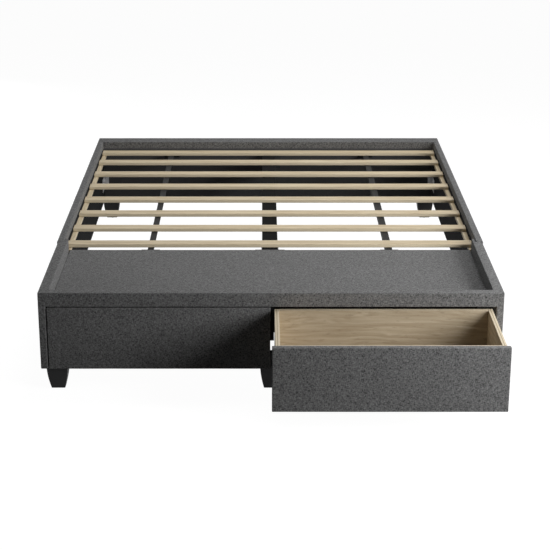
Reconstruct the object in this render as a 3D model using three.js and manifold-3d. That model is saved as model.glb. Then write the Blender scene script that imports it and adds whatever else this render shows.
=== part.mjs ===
// A queen platform bed with two drawers in its foot end, in millimetres, +Z up, the foot end
// towards -Y. Inside the bed, x = 0 is its middle, y = 0 its foot face and z = 0 the floor.
// The whole bed is then moved so that the origin is the middle of its footprint.
import * as THREE from 'three';
import { RoundedBoxGeometry } from 'three/addons/geometries/RoundedBoxGeometry.js';
import { mergeVertices } from 'three/addons/utils/BufferGeometryUtils.js';
import Module from 'manifold-3d';

const wasm = await Module();
wasm.setup();

// ---- Driving dimensions ----

// Overall
const bedLength = 2150;
const bedWidth = 1608;              // over the two side rails
const bodyHeight = 282;             // from the rim down to the underside of the rails
const legHeight = 91;
const seat = 0.3;                   // gap between two faces that rest on each other
const cushionRound = 5;             // rounding of a padded, cloth-covered edge
const cushionSteps = 2;

// Rails behind the foot box
const sideRailThickness = 26;
const sideRailProud = 4;            // how far a side rail stands outside the foot box
const headRailThickness = 76;

// Foot box
const boxDepth = 618;
const boxSideThickness = 37;
const boxRailLap = 55;              // how far each side rail runs over the box's back end
const boxLapSetback = 3;            // of the tongue inside the side rail, from the box's back
const boxLapThickness = 11;
const boxBackThickness = 18;
const frontRailThickness = 35;
const frontRailHeight = 52;
const stileWidth = 25.5;            // of a side panel's edge beside a drawer front
const deckRecess = 50;              // from the rim down to the deck
const deckThickness = 9;
const deckHousing = 6;              // how deep the deck is let into the panels round it
const ribThickness = 22;
const ribHeight = 126;
const stretcherHeight = 54;
const stretcherThickness = 20;
const bayBackThickness = 12;         // of the board that closes the drawers' bay

// Drawers
const drawerTravel = 360;
const frontThickness = 22;
const frontTopGap = 4.5;
const frontSideGap = 2.5;
const frontMeetingGap = 3;          // between the two fronts
const frontStopGap = 1;             // behind a closed front
const boxInsetSide = 11;            // from the end of a front to its box
const boxInsetTop = 4.5;              // from the top of a front to its box
const drawerWall = 15;
const drawerInnerFront = 12;
const drawerDepth = 345;            // of the box behind its front
const drawerBottom = 6;
const drawerBottomRise = 12;        // of the bottom above the lower edge of the sides
const bottomHousing = 6;            // how deep the bottom is let into the sides

// Drawer slides: a fixed, a middle and a drawer member, stacked, each with a T track
const slideLength = 340;
const slideInset = 20;              // from the inside of a drawer wall to the slide's middle
const slideSetback = 4;             // of the slide behind the drawer front
const slideSheet = 1.5;
const trackRise = 6.5;              // of the track's stem
const trackHead = 2;
const trackStemWidth = 3;
const trackHeadWidth = 16;
const channelWidth = 24;            // outside, of the channel that runs on a track
const channelLipGap = 1;            // between a channel's lips and the track's head
const channelLipReach = 9;
const slideFootWidth = 36;
const slideFootLip = 5;
const slideTopWidth = 32;

// Slats and what carries them
const slatWidth = 54;
const slatThickness = 13;
const slatRound = 3;
const slatPitch = 199;
const slatFirstGap = 24;            // from the foot box to the first slat
const slatHeadGap = 15;             // from the last slat to the head rail
const slatEndGap = 2;
const ledgerWidth = 17;
const ledgerHeight = 15;
const ledgerChamfer = 2;
const beamWidth = 60;
const beamHeight = 75;
const beamRound = 3;
const hangerSheet = 2;
const hangerReach = 40;
const hangerEar = 24;
const barSpacing = 910;             // between the middles of the two steel bars
const barWidth = 24;
const barSheet = 2.5;
const barPlateWidth = 70;
const barPlateHole = 3.5;           // radius
const bracketHeight = 60;
const bracketLong = 105;
const bracketShort = 20;
const bracketSheet = 2.5;
const bracketDrop = 160;            // from the rim down to the bracket
const bracketHole = 4.5;            // radius

// Legs
const legTop = 75;
const legBottom = 46;
const legInsetSide = 15;
const legInsetEnd = 24;
const legBulge = 2.5;                 // how far the middle of a leg's side bows out
const legSteps = 6;
const supportWidth = 45;
const supportCount = 2;
const supportFootRadius = 18;
const supportFootHeight = 12;
const supportStemRadius = 6;
const supportStemHeight = 16;

// ---- Places worked out from the driving dimensions ----

const bodyZ = legHeight;
const rimZ = bodyZ + bodyHeight;
const railOuterX = bedWidth / 2;
const railInnerX = railOuterX - sideRailThickness;
const boxOuterX = railOuterX - sideRailProud;
const boxInnerX = boxOuterX - boxSideThickness;
const lapInnerX = railInnerX - seat - boxLapThickness;
const boxSideLength = boxDepth - boxRailLap;
const lapEndY = boxDepth - boxLapSetback;
const headRailY = bedLength - headRailThickness;
const deckTopZ = rimZ - deckRecess;
const deckBottomZ = deckTopZ - deckThickness;
const frontRailZ = rimZ - frontRailHeight;
const stretcherTopZ = bodyZ + stretcherHeight;
const stretcherY = frontThickness + 2 * frontStopGap;

const frontInnerX = frontMeetingGap / 2;
const frontOuterX = boxOuterX - stileWidth - frontSideGap;
const frontTopZ = frontRailZ - frontTopGap;
const drawerInnerX = frontInnerX + boxInsetSide;
const drawerOuterX = frontOuterX - boxInsetSide;
const drawerTopZ = frontTopZ - boxInsetTop;
const drawerFrontY = frontThickness + seat;
const drawerBackY = drawerFrontY + drawerDepth;

const headUnderZ = slideSheet + trackRise;              // above the member's own base
const memberRise = headUnderZ + trackHead + seat;       // from one member's base to the next
const slideBaseZ = stretcherTopZ + seat;
const middleBaseZ = slideBaseZ + memberRise;
const topBaseZ = middleBaseZ + memberRise;
const slideTopZ = topBaseZ + slideSheet;
const slideY = frontThickness + slideSetback;
const slideEndY = slideY + slideLength;
const bottomUnderZ = slideTopZ + seat;
const bottomTopZ = bottomUnderZ + drawerBottom;
const drawerLowZ = bottomUnderZ - drawerBottomRise;

const ledgerTopZ = deckTopZ - seat;
const slatUnderZ = ledgerTopZ + seat;
const footEndY = boxDepth + seat;                       // where the slat frame starts
const headEndY = headRailY - seat;                      // where it ends

// ---- Finishes ----

const finish = (color, roughness, metalness = 0) =>
  new THREE.MeshStandardMaterial({ color, roughness, metalness });
const cloth = finish(0x55565a, 0.95);
const blackBoard = finish(0x222224, 0.8);
const plywood = finish(0xc9b48f, 0.6);
const pine = finish(0xd2bd97, 0.65);
const blackWood = finish(0x242424, 0.45);
const greySteel = finish(0x66686b, 0.4, 0.9);
const zincSteel = finish(0xb4b6b8, 0.3, 1);

// ---- Building blocks ----

// A range on X for the right side of the bed (side = 1), or its mirror (side = -1).
const mirrored = (side, low, high) => (side > 0 ? [low, high] : [-high, -low]);

function place(geometry, [x0, x1], [y0, y1], [z0, z1]) {
  return geometry.translate((x0 + x1) / 2, (y0 + y1) / 2, (z0 + z1) / 2);
}

function block(x, y, z) {
  const geometry = new THREE.BoxGeometry(x[1] - x[0], y[1] - y[0], z[1] - z[0]);
  return place(geometry, x, y, z);
}

function cushion(x, y, z) {
  const sizes = [x[1] - x[0], y[1] - y[0], z[1] - z[0]];
  return place(new RoundedBoxGeometry(...sizes, cushionSteps, cushionRound), x, y, z);
}

// A profile drawn in X and Z, pulled along Y.
function alongY(shape, [y0, y1], curveSegments = 3) {
  const geometry = new THREE.ExtrudeGeometry(shape, { depth: y1 - y0, bevelEnabled: false, curveSegments });
  return geometry.rotateX(Math.PI / 2).translate(0, y1, 0);
}

// A profile drawn in Y and Z, pulled along X.
function alongX(shape, [x0, x1], curveSegments = 3) {
  const geometry = new THREE.ExtrudeGeometry(shape, { depth: x1 - x0, bevelEnabled: false, curveSegments });
  const axes = [new THREE.Vector3(0, 1, 0), new THREE.Vector3(0, 0, 1), new THREE.Vector3(1, 0, 0)];
  return geometry.applyMatrix4(new THREE.Matrix4().makeBasis(...axes)).translate(x0, 0, 0);
}

const outline = (points) => new THREE.Shape(points.map(([u, v]) => new THREE.Vector2(u, v)));

function roundedRectangle(u0, u1, v0, v1, radius) {
  const shape = new THREE.Shape();
  shape.moveTo(u0 + radius, v0);
  shape.lineTo(u1 - radius, v0);
  shape.absarc(u1 - radius, v0 + radius, radius, -Math.PI / 2, 0);
  shape.lineTo(u1, v1 - radius);
  shape.absarc(u1 - radius, v1 - radius, radius, 0, Math.PI / 2);
  shape.lineTo(u0 + radius, v1);
  shape.absarc(u0 + radius, v1 - radius, radius, Math.PI / 2, Math.PI);
  shape.lineTo(u0, v0 + radius);
  shape.absarc(u0 + radius, v0 + radius, radius, Math.PI, Math.PI * 1.5);
  return shape;
}

function solid(geometry) {
  const bare = geometry.clone();
  bare.deleteAttribute('normal');
  bare.deleteAttribute('uv');
  const merged = mergeVertices(bare, 1e-4);
  return new wasm.Manifold(new wasm.Mesh({
    numProp: 3,
    vertProperties: new Float32Array(merged.attributes.position.array),
    triVerts: new Uint32Array(merged.index.array),
  }));
}

function geometryOf(shape) {
  const { vertProperties, triVerts } = shape.getMesh();
  const geometry = new THREE.BufferGeometry();
  geometry.setAttribute('position', new THREE.BufferAttribute(vertProperties, 3));
  geometry.setIndex(new THREE.BufferAttribute(triVerts, 1));
  return geometry;
}

function joined(first, ...others) {
  return geometryOf(others.reduce((sum, other) => sum.add(solid(other)), solid(first)));
}

function cutBy(first, ...cuts) {
  return geometryOf(cuts.reduce((rest, cut) => rest.subtract(solid(cut)), solid(first)));
}

function rod(radius, [x0, x1], y, z) {
  const geometry = new THREE.CylinderGeometry(radius, radius, x1 - x0, 16);
  return geometry.rotateZ(Math.PI / 2).translate((x0 + x1) / 2, y, z);
}

function rodAlongY(radius, x, [y0, y1], z) {
  return new THREE.CylinderGeometry(radius, radius, y1 - y0, 16).translate(x, (y0 + y1) / 2, z);
}

function piece(name, geometry, material) {
  const mesh = new THREE.Mesh(geometry, material);
  mesh.name = name;
  return mesh;
}

const sides = [['left', -1], ['right', 1]];
const bed = new THREE.Group();

// ---- Foot box ----

// The rail over the drawers, rebated behind its lower edge for the deck.
function frontRail() {
  const body = cushion([-boxInnerX + seat, boxInnerX - seat], [0, frontRailThickness], [frontRailZ, rimZ]);
  const rebateY = [frontRailThickness - deckHousing, frontRailThickness + 1];
  const rebate = block([-boxOuterX, boxOuterX], rebateY, [frontRailZ - 1, deckTopZ + seat]);
  return cutBy(body, rebate);
}

// A side panel: a rebate at its front takes the end of a closed drawer front, a groove takes
// the deck, and a tongue at its back laps the inside of the side rail.
function boxSide(side) {
  const panel = cushion(mirrored(side, boxInnerX, boxOuterX), [0, boxSideLength], [bodyZ, rimZ]);
  const tongueX = mirrored(side, lapInnerX, railInnerX - seat);
  const tongue = block(tongueX, [boxSideLength - 2 * cushionRound, lapEndY], [bodyZ, rimZ - cushionRound]);
  const rebateX = mirrored(side, boxInnerX - 1, boxOuterX - stileWidth);
  const rebate = block(rebateX, [-1, frontThickness + frontStopGap], [bodyZ - 1, frontRailZ]);
  const grooveX = mirrored(side, boxInnerX - 1, boxInnerX + deckHousing);
  const grooveY = [frontRailThickness - deckHousing, boxDepth + 1];
  const groove = block(grooveX, grooveY, [deckBottomZ - seat, deckTopZ + seat]);
  return geometryOf(solid(panel).add(solid(tongue)).subtract(solid(rebate)).subtract(solid(groove)));
}

function deck() {
  const edgeX = boxInnerX + deckHousing - seat;
  const edgeY = frontRailThickness - deckHousing + seat;
  return block([-edgeX, edgeX], [edgeY, boxDepth], [deckBottomZ, deckTopZ]);
}

const crossX = [-boxInnerX + seat, boxInnerX - seat];
const boxBackX = [-lapInnerX + seat, lapInnerX - seat];
const boxBackY = [boxDepth - boxBackThickness, boxDepth];
const ribY = [stretcherY + seat, boxDepth - boxBackThickness - seat];
const ribZ = [deckBottomZ - seat - ribHeight, deckBottomZ - seat];
const slideRailY = [slideEndY - stretcherThickness + slideSheet, slideEndY + slideSheet];
const bayBackY = [slideRailY[1] + seat, slideRailY[1] + seat + bayBackThickness];

// The board behind the drawers, notched from above for the rib.
function bayBack() {
  const board = block(crossX, bayBackY, [bodyZ, deckBottomZ - seat]);
  const notchX = [-ribThickness / 2 - seat, ribThickness / 2 + seat];
  const notch = block(notchX, [bayBackY[0] - 1, bayBackY[1] + 1], [ribZ[0] - seat, deckBottomZ]);
  return cutBy(board, notch);
}

bed.add(piece('front_rail', frontRail(), cloth));
for (const [name, side] of sides) {
  bed.add(piece(`box_side_${name}`, boxSide(side), cloth));
}
bed.add(piece('deck_panel', deck(), cloth));
bed.add(piece('box_back', block(boxBackX, boxBackY, [bodyZ, deckBottomZ - seat]), blackBoard));
bed.add(piece('deck_rib', block([-ribThickness / 2, ribThickness / 2], ribY, ribZ), blackBoard));
const stretcherZ = [bodyZ, stretcherTopZ];
const stretcherSpan = [stretcherY, stretcherY + stretcherThickness];
bed.add(piece('front_stretcher', block(crossX, stretcherSpan, stretcherZ), blackBoard));
bed.add(piece('slide_rail', block(crossX, slideRailY, stretcherZ), blackBoard));
bed.add(piece('bay_back', bayBack(), blackBoard));

// ---- Drawer slides ----

// A T track on a base of the given width, its lowest face at v = 0, about u = 0. A lip, if
// there is one, turns the base's edges up.
function trackOutline(baseWidth, lip) {
  const base = baseWidth / 2;
  const stem = trackStemWidth / 2;
  const head = trackHeadWidth / 2;
  const edge = [[base, 0], [base, lip], [base - slideSheet, lip], [base - slideSheet, slideSheet]];
  const half = [...edge, [stem, slideSheet], [stem, headUnderZ], [head, headUnderZ]];
  half.push([head, headUnderZ + trackHead]);
  return half;
}

// A channel that hangs on the track below it: its roof is the next base, from v = 0 up.
function channelOutline() {
  const outer = channelWidth / 2;
  const inner = outer - slideSheet;
  const lipEnd = outer - channelLipReach;
  const lipTop = -seat - trackHead - channelLipGap;
  const lipUnder = lipTop - slideSheet;
  return [[inner, 0], [inner, lipTop], [lipEnd, lipTop], [lipEnd, lipUnder], [outer, lipUnder]];
}

const bothSides = (half) => outline([...half, ...half.map(([u, v]) => [-u, v]).reverse()]);

function fixedMember(x) {
  const profile = bothSides(trackOutline(slideFootWidth, slideFootLip));
  const track = alongY(profile, [slideY, slideEndY]).translate(x, 0, slideBaseZ);
  const stopX = [x - slideTopWidth / 2, x + slideTopWidth / 2];
  const stopY = [slideEndY - seat, slideEndY + slideSheet];
  const stop = block(stopX, stopY, [slideBaseZ, slideTopZ]);
  return joined(track, stop);
}

function middleMember(x) {
  const outer = channelWidth / 2;
  const track = trackOutline(channelWidth, slideSheet).slice(4);
  const profile = bothSides([...channelOutline(), [outer, slideSheet], ...track]);
  return alongY(profile, [slideY, slideEndY - 2 * seat]).translate(x, 0, middleBaseZ);
}

function drawerMember(x) {
  const wing = slideTopWidth / 2;
  const outer = channelWidth / 2;
  const profile = bothSides([...channelOutline(), [outer, 0], [wing, 0], [wing, slideSheet]]);
  return alongY(profile, [slideY, slideEndY - 2 * seat]).translate(x, 0, topBaseZ);
}

// ---- Drawers ----

// A drawer's side wall, grooved for the bottom. `inward` points from the wall into the drawer.
function drawerSide(outerX, inward) {
  const innerX = outerX + inward * drawerWall;
  const grooveX = innerX - inward * bottomHousing;
  const grooveZ = [bottomUnderZ - seat, bottomTopZ + seat];
  return alongY(outline([
    [outerX, drawerLowZ],
    [innerX, drawerLowZ],
    [innerX, grooveZ[0]],
    [grooveX, grooveZ[0]],
    [grooveX, grooveZ[1]],
    [innerX, grooveZ[1]],
    [innerX, drawerTopZ],
    [outerX, drawerTopZ],
  ]), [drawerFrontY, drawerBackY]);
}

function drawerPieces(name, side) {
  const group = new THREE.Group();
  const insideX = mirrored(side, drawerInnerX + drawerWall + seat, drawerOuterX - drawerWall - seat);
  const bottomX = mirrored(
    side,
    drawerInnerX + drawerWall - bottomHousing + seat,
    drawerOuterX - drawerWall + bottomHousing - seat,
  );
  const wallZ = [bottomTopZ + seat, drawerTopZ];
  const frontX = mirrored(side, frontInnerX, frontOuterX);
  const innerFrontY = [drawerFrontY, drawerFrontY + drawerInnerFront];
  const wall = (y) => block(insideX, y, wallZ);
  const bottom = block(bottomX, [drawerFrontY, drawerBackY], [bottomUnderZ, bottomTopZ]);
  group.add(piece(`${name}_drawer_front`, cushion(frontX, [0, frontThickness], [bodyZ, frontTopZ]), cloth));
  group.add(piece(`${name}_drawer_inner_front`, wall(innerFrontY), plywood));
  group.add(piece(`${name}_drawer_back`, wall([drawerBackY - drawerWall, drawerBackY]), plywood));
  group.add(piece(`${name}_drawer_wall_outer`, drawerSide(side * drawerOuterX, -side), plywood));
  group.add(piece(`${name}_drawer_wall_inner`, drawerSide(side * drawerInnerX, side), plywood));
  group.add(piece(`${name}_drawer_bottom`, bottom, plywood));
  return group;
}

// How far each drawer stands open: the left one is shut, the right one pulled right out.
const openings = { left: 0, right: drawerTravel };

for (const [name, side] of sides) {
  const drawer = drawerPieces(name, side);
  const middles = new THREE.Group();
  const slides = {
    outer: side * (drawerOuterX - drawerWall - slideInset),
    inner: side * (drawerInnerX + drawerWall + slideInset),
  };
  for (const [where, x] of Object.entries(slides)) {
    bed.add(piece(`${name}_slide_${where}_fixed`, fixedMember(x), zincSteel));
    middles.add(piece(`${name}_slide_${where}_middle`, middleMember(x), zincSteel));
    drawer.add(piece(`${name}_slide_${where}_drawer`, drawerMember(x), zincSteel));
  }
  drawer.position.y = -openings[name];
  middles.position.y = -openings[name] / 2;
  bed.add(drawer, middles);
}

// ---- Rails, slats and their bearers ----

const sideRailY = [boxSideLength + seat, headEndY];
for (const [name, side] of sides) {
  const railX = mirrored(side, railInnerX, railOuterX);
  bed.add(piece(`side_rail_${name}`, cushion(railX, sideRailY, [bodyZ, rimZ]), cloth));
}
const headRailX = [-railOuterX, railOuterX];
bed.add(piece('head_rail', cushion(headRailX, [headRailY, bedLength], [bodyZ, rimZ]), cloth));

// A ledger along a side rail, its lower inner edge planed off.
function ledger(side) {
  const back = railInnerX - seat;
  const front = back - ledgerWidth;
  const low = ledgerTopZ - ledgerHeight;
  const corners = [
    [back, low],
    [back, ledgerTopZ],
    [front, ledgerTopZ],
    [front, low + ledgerChamfer],
    [front + ledgerChamfer, low],
  ];
  return alongY(outline(corners.map(([x, z]) => [side * x, z])), [footEndY, headEndY]);
}

for (const [name, side] of sides) {
  bed.add(piece(`ledger_${name}`, ledger(side), pine));
}

// Slats at an even pitch from the foot box, and one more close to the head rail.
const firstSlatY = boxDepth + slatFirstGap;
const headSlatY = headRailY - slatHeadGap - slatWidth;
const pitchedSlats = Math.floor((headSlatY - firstSlatY - slatWidth) / slatPitch) + 1;
const slatStarts = Array.from({ length: pitchedSlats }, (_, index) => firstSlatY + index * slatPitch);
slatStarts.push(headSlatY);
const slatX = [-railInnerX + slatEndGap, railInnerX - slatEndGap];

slatStarts.forEach((start, index) => {
  const top = slatUnderZ + slatThickness;
  const section = roundedRectangle(start, start + slatWidth, slatUnderZ, top, slatRound);
  bed.add(piece(`slat_${index + 1}`, alongX(section, slatX), pine));
});

// The centre beam hangs in a steel saddle at each end.
const beamUnderZ = ledgerTopZ - beamHeight;
const saddleInnerX = beamWidth / 2 + seat;
const saddleOuterX = saddleInnerX + hangerSheet;
const saddleUnderZ = beamUnderZ - seat - hangerSheet;
const beamY = [footEndY + hangerSheet + seat, headEndY - hangerSheet - seat];
const beamSection = roundedRectangle(-beamWidth / 2, beamWidth / 2, beamUnderZ, ledgerTopZ, beamRound);
bed.add(piece('centre_beam', alongY(beamSection, beamY), blackWood));

// `inward` is +1 at the foot end and -1 at the head end.
function beamHanger(wallY, inward) {
  const along = (from, to) => [wallY + inward * from, wallY + inward * to].sort((a, b) => a - b);
  const plateX = [-saddleOuterX - hangerEar, saddleOuterX + hangerEar];
  const plate = block(plateX, along(0, hangerSheet), [saddleUnderZ, ledgerTopZ]);
  const trough = alongY(outline([
    [-saddleOuterX, saddleUnderZ],
    [saddleOuterX, saddleUnderZ],
    [saddleOuterX, ledgerTopZ],
    [saddleInnerX, ledgerTopZ],
    [saddleInnerX, saddleUnderZ + hangerSheet],
    [-saddleInnerX, saddleUnderZ + hangerSheet],
    [-saddleInnerX, ledgerTopZ],
    [-saddleOuterX, ledgerTopZ],
  ]), along(0, hangerReach));
  return joined(plate, trough);
}

bed.add(piece('beam_hanger_foot', beamHanger(footEndY, 1), greySteel));
bed.add(piece('beam_hanger_head', beamHanger(headEndY, -1), greySteel));

// A steel angle bar with a plate welded to each end.
function supportBar(x) {
  const top = ledgerTopZ;
  const angle = alongY(outline([
    [x - barWidth / 2, top],
    [x + barWidth / 2, top],
    [x + barWidth / 2, top - barSheet],
    [x - barWidth / 2 + barSheet, top - barSheet],
    [x - barWidth / 2 + barSheet, top - barWidth],
    [x - barWidth / 2, top - barWidth],
  ]), [footEndY, headEndY]);
  const plateX = [x - barPlateWidth / 2, x + barPlateWidth / 2];
  const plateZ = [top - barWidth, top];
  const holeReach = (barWidth + barPlateWidth) / 4;
  const ends = [[footEndY, footEndY + barSheet], [headEndY - barSheet, headEndY]];
  return ends.reduce((bar, y) => {
    const holes = [-1, 1].map((step) => {
      const holeX = x + step * holeReach;
      return rodAlongY(barPlateHole, holeX, [y[0] - 1, y[1] + 1], top - barWidth / 2);
    });
    return cutBy(joined(bar, block(plateX, y, plateZ)), ...holes);
  }, angle);
}

for (const [name, side] of sides) {
  bed.add(piece(`support_bar_${name}`, supportBar(side * barSpacing / 2), greySteel));
}

// A steel corner bracket between a side rail and the head rail, with two bolt holes a wing.
function cornerBracket(side) {
  const wall = railInnerX - seat;
  const topZ = rimZ - bracketDrop;
  const z = [topZ - bracketHeight, topZ];
  const longX = mirrored(side, wall - bracketSheet, wall);
  const shortX = mirrored(side, wall - bracketShort, wall);
  const longWing = block(longX, [headEndY - bracketLong, headEndY], z);
  const shortWing = block(shortX, [headEndY - bracketSheet, headEndY], z);
  const holes = [0.25, 0.75].flatMap((share) => {
    const holeZ = z[0] + share * bracketHeight;
    const shortMiddle = side * (wall - bracketShort / 2 - bracketSheet / 2);
    return [
      rod(bracketHole, [longX[0] - 1, longX[1] + 1], headEndY - bracketLong * 0.6, holeZ),
      rodAlongY(bracketHole, shortMiddle, [headEndY - bracketSheet - 1, headEndY + 1], holeZ),
    ];
  });
  return cutBy(joined(longWing, shortWing), ...holes);
}

for (const [name, side] of sides) {
  bed.add(piece(`corner_bracket_${name}`, cornerBracket(side), greySteel));
}

// ---- Legs ----

// A square leg whose four sides bow out as they taper: a four-sided turning, so a radius in
// its profile is half the diagonal of the square.
function leg(x, y) {
  const top = legHeight - seat;
  const profile = [new THREE.Vector2(0, 0)];
  for (let step = 0; step <= legSteps; step += 1) {
    const rise = step / legSteps;
    const halfWidth = THREE.MathUtils.lerp(legBottom, legTop, rise) / 2;
    const bow = legBulge * Math.sin(Math.PI * rise);
    profile.push(new THREE.Vector2((halfWidth + bow) * Math.SQRT2, top * rise));
  }
  profile.push(new THREE.Vector2(0, top));
  const turned = new THREE.LatheGeometry(profile, 4, Math.PI / 4);
  return turned.rotateX(Math.PI / 2).translate(x, y, 0);
}

const legX = boxOuterX - legInsetSide - legTop / 2;
const footLegY = legInsetEnd + legTop / 2;
const headLegY = bedLength - legInsetEnd - legTop / 2;
bed.add(piece('leg_foot_left', leg(-legX, footLegY), blackWood));
bed.add(piece('leg_foot_middle', leg(0, footLegY), blackWood));
bed.add(piece('leg_foot_right', leg(legX, footLegY), blackWood));
bed.add(piece('leg_head_left', leg(-legX, headLegY), blackWood));
bed.add(piece('leg_head_right', leg(legX, headLegY), blackWood));

// A post under the centre beam, on a screwed foot.
function supportPost(y) {
  const half = supportWidth / 2;
  const postZ = [supportStemHeight, saddleUnderZ + hangerSheet];
  const post = block([-half, half], [y - half, y + half], postZ);
  const foot = new THREE.LatheGeometry([
    [0, 0],
    [supportFootRadius, 0],
    [supportFootRadius, supportFootHeight / 2],
    [supportStemRadius, supportFootHeight],
    [supportStemRadius, supportStemHeight + seat],
    [0, supportStemHeight + seat],
  ].map(([radius, height]) => new THREE.Vector2(radius, height)), 16);
  return joined(post, foot.rotateX(Math.PI / 2).translate(0, y, 0));
}

for (let index = 1; index <= supportCount; index += 1) {
  const y = THREE.MathUtils.lerp(footEndY, headEndY, index / (supportCount + 1));
  bed.add(piece(`support_post_${index}`, supportPost(y), blackWood));
}

// The footprint runs from the face of the open drawer to the head rail.
bed.position.y = -(bedLength - Math.max(...Object.values(openings))) / 2;

export default bed;
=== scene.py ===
"""The finishes, the upholstery and the fittings of a queen platform bed with two drawers in its
foot end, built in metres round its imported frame. The foot end faces -Y and +Z is up."""
import math

import bmesh
import bpy
from mathutils import Matrix, Vector, noise

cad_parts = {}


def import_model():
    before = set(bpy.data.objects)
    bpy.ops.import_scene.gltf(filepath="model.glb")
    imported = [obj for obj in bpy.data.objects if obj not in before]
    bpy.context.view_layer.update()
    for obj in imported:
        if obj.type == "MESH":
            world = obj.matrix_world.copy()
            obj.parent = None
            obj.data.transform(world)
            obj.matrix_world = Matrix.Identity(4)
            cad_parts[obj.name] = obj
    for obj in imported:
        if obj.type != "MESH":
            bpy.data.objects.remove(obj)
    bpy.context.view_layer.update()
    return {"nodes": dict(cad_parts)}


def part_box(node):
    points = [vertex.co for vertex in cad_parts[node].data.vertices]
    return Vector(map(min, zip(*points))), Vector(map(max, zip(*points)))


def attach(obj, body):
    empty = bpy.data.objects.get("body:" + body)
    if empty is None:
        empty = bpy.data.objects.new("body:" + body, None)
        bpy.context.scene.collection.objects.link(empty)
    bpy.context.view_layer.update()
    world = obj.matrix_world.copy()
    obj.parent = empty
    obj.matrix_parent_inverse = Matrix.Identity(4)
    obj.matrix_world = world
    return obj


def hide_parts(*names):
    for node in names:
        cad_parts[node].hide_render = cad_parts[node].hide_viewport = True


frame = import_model()

MM = 0.001
SEAT = 0.3 * MM                     # gap between two pieces that rest on each other
SIDES = {"left": -1, "right": 1}    # which way each side of the bed lies along X

# ---- Sizes that the frame doesn't name ----

# The foot box
SIDE_PANEL = 37 * MM                # thickness of its sides
STILE_GAP = 2.5 * MM                # from a side's stile to the drawer front beside it
FRONT_STOP = 1 * MM                 # behind a closed drawer front
DECK_HOUSING = 6 * MM               # how far the deck's board goes into the panels round it
TONGUE = 11 * MM                    # thickness of the tongue that laps a side rail
TONGUE_LAP = 8 * MM                 # how far a tongue starts inside the box's side
TONGUE_RISE = 1 * MM                # from the side's lower edge up to its tongue
TONGUE_DROP = 5 * MM                # from the rim down to a tongue
TONGUE_ROUND = 1 * MM

# The upholstery
CLOTH_ROUND = 3.5 * MM              # rounding of an upholstered edge
FRONT_ROUND = 3 * MM                # the same on a drawer's front
DECK_ROUND = 2.5 * MM               # the same on the deck
CLOTH_STEPS = 4
CLOTH_GRID = 34 * MM                # spacing of the points that let a cover's face ease in and out
CLOTH_EASE = 0.5 * MM               # how far a cover's face dips between its high places
CLOTH_DIP = 90 * MM                 # how far across such a dip is
YARN_PITCH = 2 * MM                 # from one yarn of the weave to the next
SLUB_LENGTH = 9.5 * MM              # how long a yarn keeps its thickness

# The lining inside the rails
TURNED_IN = 31 * MM                 # how far the cloth comes down the inner face of a rail
LINER = 0.9 * MM                    # thickness of the black lining cloth
LINER_RISE = 9 * MM                 # from a rail's lower edge up to its lining
LINER_ROUND = 0.3 * MM
SIDE_LINER_START = 2 * MM           # from the foot box to a side's lining
SIDE_LINER_END = 4 * MM             # from that lining to its rail's end
HEAD_LINER_END = 3 * MM             # from the head's lining to the side rails
STAPLE_WIDTH = 10 * MM
STAPLE_WIRE = 0.9 * MM
STAPLE_PITCH = 62 * MM
LOW_STAPLES = 8 * MM                # from a lining's lower edge up to its lower row of staples
HIGH_STAPLES = 30 * MM              # from its upper edge down to its upper row

# The drawers
THIN_BOARD = 8 * MM                 # below this thickness plywood has three plies in place of five
WALL_PAINTED_LIGHT = 1.45                    # how much paler a drawer's walls are painted than its back, as painted light on their shaded faces
BOARD_ARRIS = 0.8 * MM
BACKING = 0.6 * MM                  # thickness of the cloth on the back of a drawer front
BACKING_INSET = 12 * MM             # from the front's edges to that cloth
BACKING_DROP = 3 * MM               # from the drawer's box down to it
BACKING_STAPLES = 5 * MM            # from its edges to its rows of staples

# The legs
LEG_TOE = 46 / 75                   # width at the floor, as a share of the width at the top
LEG_BOW = 5 / 75                    # how much the sides' bow adds to it, as a share of the same
LEG_SLICES = 10
LEG_ARRIS = 2.5 * MM                # rounding of a leg's long edges
GLIDE_HEIGHT = 4 * MM
GLIDE_RADIUS = 15 * MM
GLIDE_TAPER = 1.5 * MM              # how much smaller a glide's radius is at the floor
GLIDE_SEATED = 0.5 * MM             # how far a glide goes up into its leg

# The nails, bolts and screws. A head is its radius, its height and its dome's share of the radius.
BRAD_RADIUS = 2.4 * MM              # head of a nail that holds a slat
BRAD_HEIGHT = 0.5 * MM
CORNER_BOLT = (8 * MM, 4.5 * MM, 0.3)
FRONT_SCREW = (5 * MM, 2.2 * MM, 0.4)
BEARER_SCREW = (5.5 * MM, 2.2 * MM, 0.45)
PLATE = 2.5 * MM                    # thickness of the corner brackets and the bars' end plates
BAR_SCREWS = 23.5 * MM              # from the middle of a bar's end plate to its screws
HANGER_SHEET = 2 * MM
HANGER_SCREWS = 12 * MM             # from the edge of a beam hanger's wing to its screws

# The view of the foot end, from in front of it and a little above
LENS = 98.95
SENSOR = 36
PITCH = math.radians(19.39)
CAMERA_X = -0.032
CAMERA_DISTANCE = 4.854             # in front of the foot box
CAMERA_RISE = 1.7735                # above the rim
CAMERA_SHIFT = 0.0244

# The studio
FLOOR_HALF = 16                     # half the width of the floor
FLOOR_CENTRE = (0, 6, -0.2 * MM)
FLOOR_GLOW = 0.97                   # how bright the floor looks, where 1 is white
WORLD_LIGHT = 0.021                 # strength of the even light from all round
KEY_AZIMUTH = math.radians(62)      # from straight in front of the bed, round to its right
KEY_HEIGHT = math.radians(22)
KEY_DISTANCE = 2.45


def box(name):
    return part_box(name)


rim_z = box("front_rail")[1].z
foot_y = box("front_rail")[0].y
underside_z = box("side_rail_left")[0].z
box_end_y = box("side_rail_left")[0].y - SEAT


def inner_x(name, side):
    """Where a piece on one side of the bed has its face towards the middle."""
    low, high = box(name)
    return low.x if side > 0 else high.x


def outer_x(name, side):
    return inner_x(name, -side)


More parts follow.
